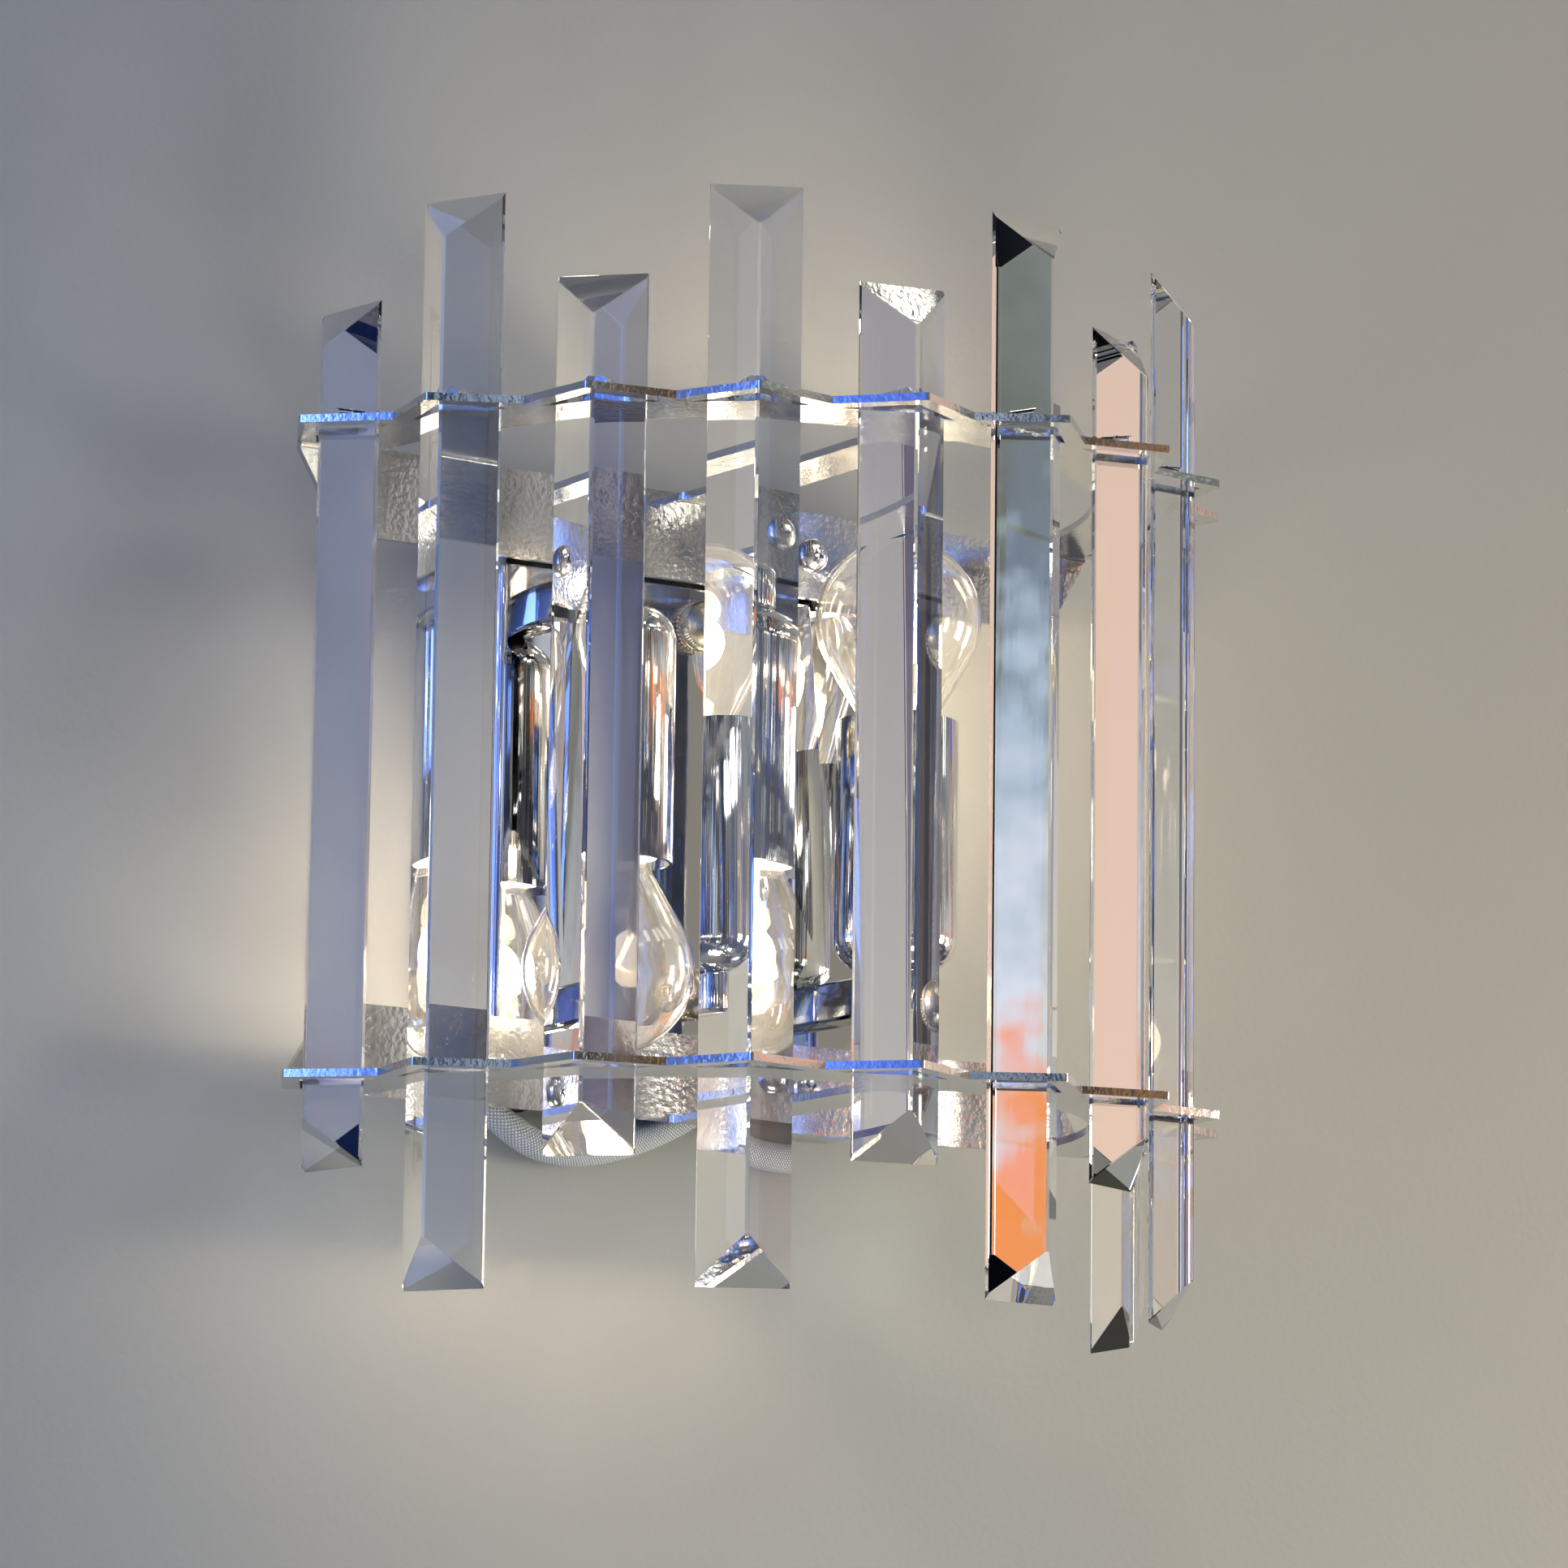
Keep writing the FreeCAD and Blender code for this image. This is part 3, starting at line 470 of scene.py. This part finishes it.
def turned(profile, steps):
    # one closed profile of (radius, height) turned round the Z axis
    shape = bmesh.new()
    dots = [shape.verts.new((radius, 0, height)) for radius, height in profile]
    for start, end in zip(dots[:-1], dots[1:]):
        shape.edges.new((start, end))
    bmesh.ops.spin(
        shape, geom=shape.verts[:] + shape.edges[:], cent=(0, 0, 0), axis=(0, 0, 1),
        dvec=(0, 0, 0), angle=math.radians(360), steps=steps, use_merge=True,
        use_normal_flip=False, use_duplicate=False)
    bmesh.ops.remove_doubles(shape, verts=shape.verts, dist=nothing)
    bmesh.ops.recalc_face_normals(shape, faces=shape.faces)
    return shape


def add_shape(whole, shape, turn, place):
    # turns a finished shape, moves it to its place and adds it to the whole piece
    bmesh.ops.rotate(shape, verts=shape.verts, cent=(0, 0, 0), matrix=turn)
    bmesh.ops.translate(shape, verts=shape.verts, vec=place)
    part = bpy.data.meshes.new("part")
    shape.to_mesh(part)
    shape.free()
    whole.from_mesh(part)
    bpy.data.meshes.remove(part)


def thread_profile(radius, depth, pitch, start, end):
    # rounded ridges and grooves from start to end along a turned piece
    points = []
    count = max(1, round(abs(end - start) / pitch))
    step = (end - start) / count
    for i in range(count):
        low = start + i * step
        points.append((radius - depth, low))
        points.append((radius - depth * 0.25, low + step * 0.25))
        points.append((radius, low + step * 0.5))
        points.append((radius - depth * 0.25, low + step * 0.75))
    points.append((radius - depth, end))
    return points


def cross_screw():
    profile = [(0.0, screw_tip), (0.0014, screw_tip)]
    profile += thread_profile(screw_radius, screw_ridge, screw_pitch, -0.0103, -0.0022)
    profile += [(screw_radius, -0.0019), (screw_radius, 0.0)]
    profile += [(head_radius - head_chamfer, 0.0), (head_radius, head_chamfer)]
    profile += [(head_radius, head_band)]
    dome = head_height - head_band
    for i in range(1, 9):
        lean = math.radians(90 * i / 8)
        profile.append((head_radius * math.cos(lean), head_band + dome * math.sin(lean)))
    profile[-1] = (0.0, head_height)
    shape = turned(profile, 40)
    # the head is cut along the four sides of both bars, then the cross is let in
    for along in ((1, 0, 0), (0, 1, 0)):
        for offset in (-recess_half_width, recess_half_width, -recess_reach, recess_reach):
            upper = [f for f in shape.faces if f.calc_center_median().z > head_band]
            around = {e for f in upper for e in f.edges} | {v for f in upper for v in f.verts}
            bmesh.ops.bisect_plane(
                shape, geom=upper + list(around), dist=nothing,
                plane_co=Vector(along) * offset, plane_no=along)
    cross = []
    for face in shape.faces:
        middle = face.calc_center_median()
        narrow, wide = sorted((abs(middle.x), abs(middle.y)))
        if middle.z > recess_starts and narrow < recess_half_width and wide < recess_reach:
            cross.append(face)
    sunk = bmesh.ops.extrude_face_region(shape, geom=cross)
    bottom = [v for v in sunk["geom"] if isinstance(v, bmesh.types.BMVert)]
    bmesh.ops.delete(shape, geom=cross, context="FACES")
    bmesh.ops.translate(shape, verts=bottom, vec=(0, 0, -recess_depth))
    return shape


to_the_room = Matrix.Rotation(math.radians(90), 3, "X")
whole = bmesh.new()
for side in (-1, 1):
    for end in (-1, 1):
        driven = Matrix.Rotation(math.radians(25 + 30 * side + 12 * end), 3, "Z")
        add_shape(whole, cross_screw(), to_the_room @ driven,
                  (side * screw_x, screw_seat, end * screw_z))
dressed("frame_screws_made", whole, bright_zinc, "fixture",
        "frame_screws", 30.0)


# ---- Cap nuts -----------------------------------------------------------------------
# Two turned nuts with a crowned end, finely knurled all round, and a ring of little beads
# against the box. They screw on to the wall bar's studs and hold the box.
nut_z = 0.050
nut_seat = -0.022
nut_radius = 0.0066
nut_shoulder = 0.0056
nut_crown = [(0.0, 0.009), (0.0014, 0.00885), (0.0027, 0.0085), (0.0039, 0.0079),
             (0.0051, 0.0071), (0.0060, 0.0063)]
nut_bore = 0.0021
nut_bore_depth = 0.0065
nut_ridges = 56
ridge_ease = 0.965
knurl_starts = 0.0018
knurl_inner = 0.0033
bead_count = 34
bead_radius = 0.0006
bead_sink = 0.0002
bead_height = 0.0008
nut_metal = plated("nut_metal", (0.60, 0.54, 0.43), 0.16, 0.34, 0.3, 900.0)


def knurled_nut():
    profile = nut_crown + [
        (nut_radius, nut_shoulder), (nut_radius, 0.0021), (nut_radius - 0.0006, 0.0021),
        (nut_radius - 0.0006, 0.0016), (nut_radius - 0.0003, 0.0014),
        (nut_radius - 0.0003, 0.0002), (nut_radius - 0.0006, 0.0), (nut_bore, 0.0),
        (nut_bore, nut_bore_depth), (0.0, nut_bore_depth),
    ]
    shape = turned(profile, nut_ridges * 2)
    turn = math.radians(360 / (nut_ridges * 2))
    for vert in shape.verts:
        out = math.hypot(vert.co.x, vert.co.y)
        groove = round(math.atan2(vert.co.y, vert.co.x) / turn) % 2
        if groove and vert.co.z > knurl_starts and out > knurl_inner:
            vert.co.x *= ridge_ease
            vert.co.y *= ridge_ease
    ring = nut_radius - bead_sink
    for i in range(bead_count):
        lean = math.radians(360 / bead_count * i)
        spot = Matrix.Translation((ring * math.cos(lean), ring * math.sin(lean), bead_height))
        bmesh.ops.create_icosphere(shape, subdivisions=2, radius=bead_radius, matrix=spot)
    return shape


whole = bmesh.new()
for end in (-1, 1):
    add_shape(whole, knurled_nut(), to_the_room, (0, nut_seat, end * nut_z))
dressed("cap_nuts_made", whole, nut_metal, "fixture", "cap_nuts", 50.0)


# ---- Lamp arms and cups -------------------------------------------------------------
# Each lamp hangs on a short square arm with a round nose. The cup is a drawn and polished
# tube with a rounded shoulder and faint draw lines along it.
arm_edge = 0.0002
cup_edge = 0.0001
cup_draw = (1.0, 1.0, 0.004)
arm_chrome = plated("arm_chrome", (0.70, 0.71, 0.73), 0.04, 0.10, 0.12, 260.0)
cup_chrome = plated("cup_chrome", (0.82, 0.83, 0.86), 0.02, 0.10, 0.45, 900.0, cup_draw)
for lamp in ("upper", "lower"):
    dressed(lamp + "_arm_bar", cad_copy(lamp + "_arm", arm_edge, 2), arm_chrome,
            "fixture", lamp + "_arm")
    dressed(lamp + "_cup_tube", cad_copy(lamp + "_cup", cup_edge), cup_chrome,
            "fixture", lamp + "_cup")


# ---- Lampholders --------------------------------------------------------------------
# White glazed ceramic with a stamped brass screw shell and a springy centre contact, and
# the moulded terminal block that feeds them.
holder_edge = 0.0002
tongue_edge = 0.00005
terminal_edge = 0.0003


def plain_finish(name, low, high, rough, metal, scale, bump):
    # fired, stamped or moulded: two close tones in soft patches and a slight unevenness
    finish, tree, shader = new_finish(name)
    spot = node(tree, "ShaderNodeTexCoord").outputs["Object"]
    patch = noise(tree, spot, scale, 4.0)
    join(tree, ramp(tree, patch, ((0.3, low), (0.7, high))), shader.inputs["Base Color"])
    raise_surface(tree, shader, patch, bump, 0.0002)
    shader.inputs["Roughness"].default_value = rough
    shader.inputs["Metallic"].default_value = metal
    return finish


glaze = plain_finish("ceramic_glaze", (0.80, 0.79, 0.75), (0.88, 0.87, 0.84), 0.2, 0.0,
                     90.0, 0.1)
stamped_brass = plain_finish("stamped_brass", (0.60, 0.42, 0.16), (0.74, 0.55, 0.25), 0.3,
                             1.0, 180.0, 0.2)
nylon = plain_finish("moulded_nylon", (0.76, 0.75, 0.71), (0.82, 0.81, 0.78), 0.5, 0.0,
                     200.0, 0.2)
for lamp in ("upper", "lower"):
    dressed(lamp + "_holder_body", cad_copy(lamp + "_lampholder", holder_edge), glaze,
            "fixture", lamp + "_lampholder")
    dressed(lamp + "_screw_shell", cad_copy(lamp + "_socket_shell", 0.0), stamped_brass,
            "fixture", lamp + "_socket_shell")
dressed("socket_tongues", cad_copy("socket_contacts", tongue_edge), stamped_brass, "fixture",
        "socket_contacts")
dressed("terminal_body", cad_copy("terminal_block", terminal_edge), nylon, "fixture",
        "terminal_block")


# ---- Lamps --------------------------------------------------------------------------
# Clear golf-ball lamps: a blown ball on a tapering neck, a pressed glass stem, a wound
# filament glowing yellow-white, and a nickel screw cap. Heights are from the cup's mouth.
ball_radius = 0.0225
ball_centre = 0.028
taper = math.radians(30)
neck_radius = 0.008
neck_end = -0.0062
neck_top = -0.0031
glass_wall = 0.0008
cap_tip = -0.0275
cap_thread = 0.00695
cap_ridge = 0.0007
cap_pitch = 0.0028
cap_skirt = 0.0088
cap_mouth = 0.00805
cap_floor = -0.00624
coil_radius = 0.0023
coil_wire = 0.0008
coil_turns = 4
coil_steps = 12
filament_bends = [(-0.0013, 0.016), (-0.0075, 0.026), (-0.0035, 0.0285), (0.0035, 0.0285),
                  (0.0075, 0.026), (0.0013, 0.016)]
glow_power = 0.16
glow_colour = (1.0, 0.84, 0.60)
glow_radius = 0.008
blown = clear_glass("blown_glass", (1.0, 0.995, 0.98), 1.48, 0.0, 0.01, 60.0, 0.99)
pressed = clear_glass("pressed_glass", (0.99, 0.99, 0.99), 1.48, 0.3, 0.05, 300.0, 0.6)
nickel = plated("nickel_cap", (0.70, 0.68, 0.64), 0.15, 0.3, 0.2, 500.0)
hot, tree, shader = new_finish("hot_tungsten")
spot = node(tree, "ShaderNodeTexCoord").outputs["Object"]
heat = ramp(tree, noise(tree, spot, 700.0, 1.0),
            ((0.0, (1.0, 0.72, 0.40)), (1.0, (1.0, 0.86, 0.62))))
join(tree, heat, shader.inputs["Emission Color"])
shader.inputs["Base Color"].default_value = (0.3, 0.25, 0.2, 1)
shader.inputs["Emission Strength"].default_value = 400.0


def set_up(shape, place, pointing):
    # points an upright shape up or down, moves it to its cup and turns its faces out
    bmesh.ops.scale(shape, verts=shape.verts, vec=(1, 1, pointing))
    bmesh.ops.translate(shape, verts=shape.verts, vec=place)
    bmesh.ops.recalc_face_normals(shape, faces=shape.faces)
    return shape


def glass_ball(place, pointing):
    # the outer skin is turned, then given its wall inwards
    profile = [(neck_radius, neck_end), (neck_radius, neck_top)]
    for i in range(37):
        lean = -taper + (math.radians(90) + taper) * i / 36
        profile.append((ball_radius * math.cos(lean), ball_centre + ball_radius * math.sin(lean)))
    profile[-1] = (0.0, ball_centre + ball_radius)
    shape = turned(profile, 72)
    bmesh.ops.solidify(shape, geom=shape.faces[:], thickness=glass_wall)
    return set_up(shape, place, pointing)


def screw_cap(place, pointing):
    # from the solder tip up over the black glass, the thread and the skirt to its mouth
    profile = [(0.0, cap_tip), (0.0022, cap_tip), (0.0024, -0.0271), (0.0024, -0.0263)]
    profile += [(0.0046, -0.0249), (0.0062, -0.0238)]
    profile += thread_profile(cap_thread, cap_ridge, cap_pitch, -0.0236, -0.0096)
    profile += [(0.0069, -0.0091), (0.0087, -0.0077), (cap_skirt, -0.0074)]
    profile += [(cap_skirt, -0.0034), (0.0086, -0.0032), (cap_mouth, -0.0032)]
    profile += [(cap_mouth, cap_floor), (0.0, cap_floor)]
    return set_up(turned(profile, 48), place, pointing)


def straight_lead(length):
    piece = bmesh.new()
    bmesh.ops.create_cone(
        piece, cap_ends=True, segments=8, radius1=coil_wire, radius2=coil_wire,
        depth=length, matrix=Matrix.Translation((0, 0, length / 2)))
    return piece


def wound_run(length):
    # a ring of wire turned and lifted together into a coil, closed at both ends
    piece = bmesh.new()
    ring = bmesh.ops.create_circle(
        piece, segments=6, radius=coil_wire,
        matrix=Matrix.Translation((coil_radius - coil_wire, 0, 0))
        @ Matrix.Rotation(math.radians(90), 4, "X"))
    steps = coil_turns * coil_steps
    bmesh.ops.spin(
        piece, geom=ring["verts"] + piece.edges[:], cent=(0, 0, 0), axis=(0, 0, 1),
        dvec=(0, 0, length / steps), angle=math.radians(360 * coil_turns), steps=steps,
        use_merge=False, use_normal_flip=False, use_duplicate=False)
    bmesh.ops.holes_fill(piece, edges=piece.edges, sides=6)
    return piece


def wound_filament(place, pointing):
    # three coiled runs in a bow, with a straight lead at each end
    shape = bmesh.new()
    runs = list(zip(filament_bends[:-1], filament_bends[1:]))
    for start, end in runs:
        run = Vector((end[0] - start[0], 0, end[1] - start[1]))
        leads = (start, end) in (runs[0], runs[-1])
        piece = straight_lead(run.length) if leads else wound_run(run.length)
        bmesh.ops.recalc_face_normals(piece, faces=piece.faces)
        add_shape(shape, piece, run.to_track_quat("Z", "Y").to_matrix(),
                  Vector((start[0], 0, start[1])))
    return set_up(shape, place, pointing)


for lamp, place, pointing in (
    ("upper", (-0.045, -0.053, -0.0225), -1),
    ("lower", (0.045, -0.053, 0.0245), 1),
):
    body = lamp + "_bulb"
    dressed(body + "_glass_made", glass_ball(place, pointing), blown, body,
            body + "_glass", 60.0)
    dressed(body + "_cap_made", screw_cap(place, pointing), nickel, body,
            body + "_cap", 40.0)
    dressed(body + "_stem_made", cad_copy(body + "_stem", 0.0), pressed, body,
            body + "_stem", 50.0)
    dressed(body + "_filament_made", wound_filament(place, pointing), hot, body,
            body + "_filament", 60.0)
    low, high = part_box(body + "_filament")
    light = bpy.data.lights.new(lamp + "_glow", "POINT")
    light.energy = glow_power
    light.color = glow_colour
    light.shadow_soft_size = glow_radius
    glow = bpy.data.objects.new(lamp + "_glow", light)
    bpy.context.scene.collection.objects.link(glow)
    glow.location = (low + high) / 2
